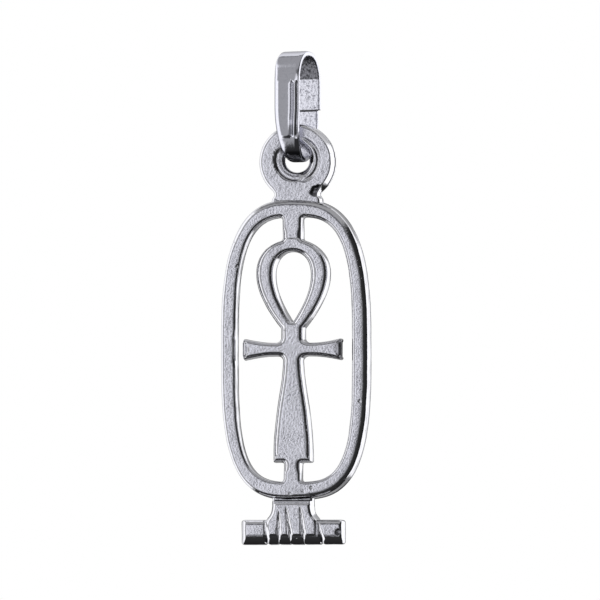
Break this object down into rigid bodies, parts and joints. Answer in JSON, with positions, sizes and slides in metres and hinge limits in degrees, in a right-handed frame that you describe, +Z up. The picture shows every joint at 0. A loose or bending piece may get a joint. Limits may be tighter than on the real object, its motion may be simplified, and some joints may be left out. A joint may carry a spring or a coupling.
{
  "type": "ankh cartouche pendant",
  "caption": "Cartouche-shaped silver pendant with an openwork ankh and a tied foot bar, hanging by a ring eye from a strap bail.",
  "frame": {"origin": "middle of the underside of the bail's crown, where a chain carries the pendant", "axes": "+Z up along the pendant, -Y the front, +X to the right seen from the front"},
  "size_m": [0.011, 0.0044, 0.0361],
  "materials": {
    "polished_silver": "polished silver strap with fine scratches and a dark seam",
    "cast_silver": "satin cast silver with fine grain and pits, polished on its rounded edges"
  },
  "bodies": {
    "bail": {"bail": "polished_silver"},
    "pendant": {"pendant": "cast_silver"}
  },
  "joints": [
    {"name": "swing", "type": "hinge", "parent": "bail", "child": "pendant", "pos_m": [0, 0, -0.0061], "axis": [0.9511, -0.309, 0], "range_deg": [-35, 35]}
  ]
}
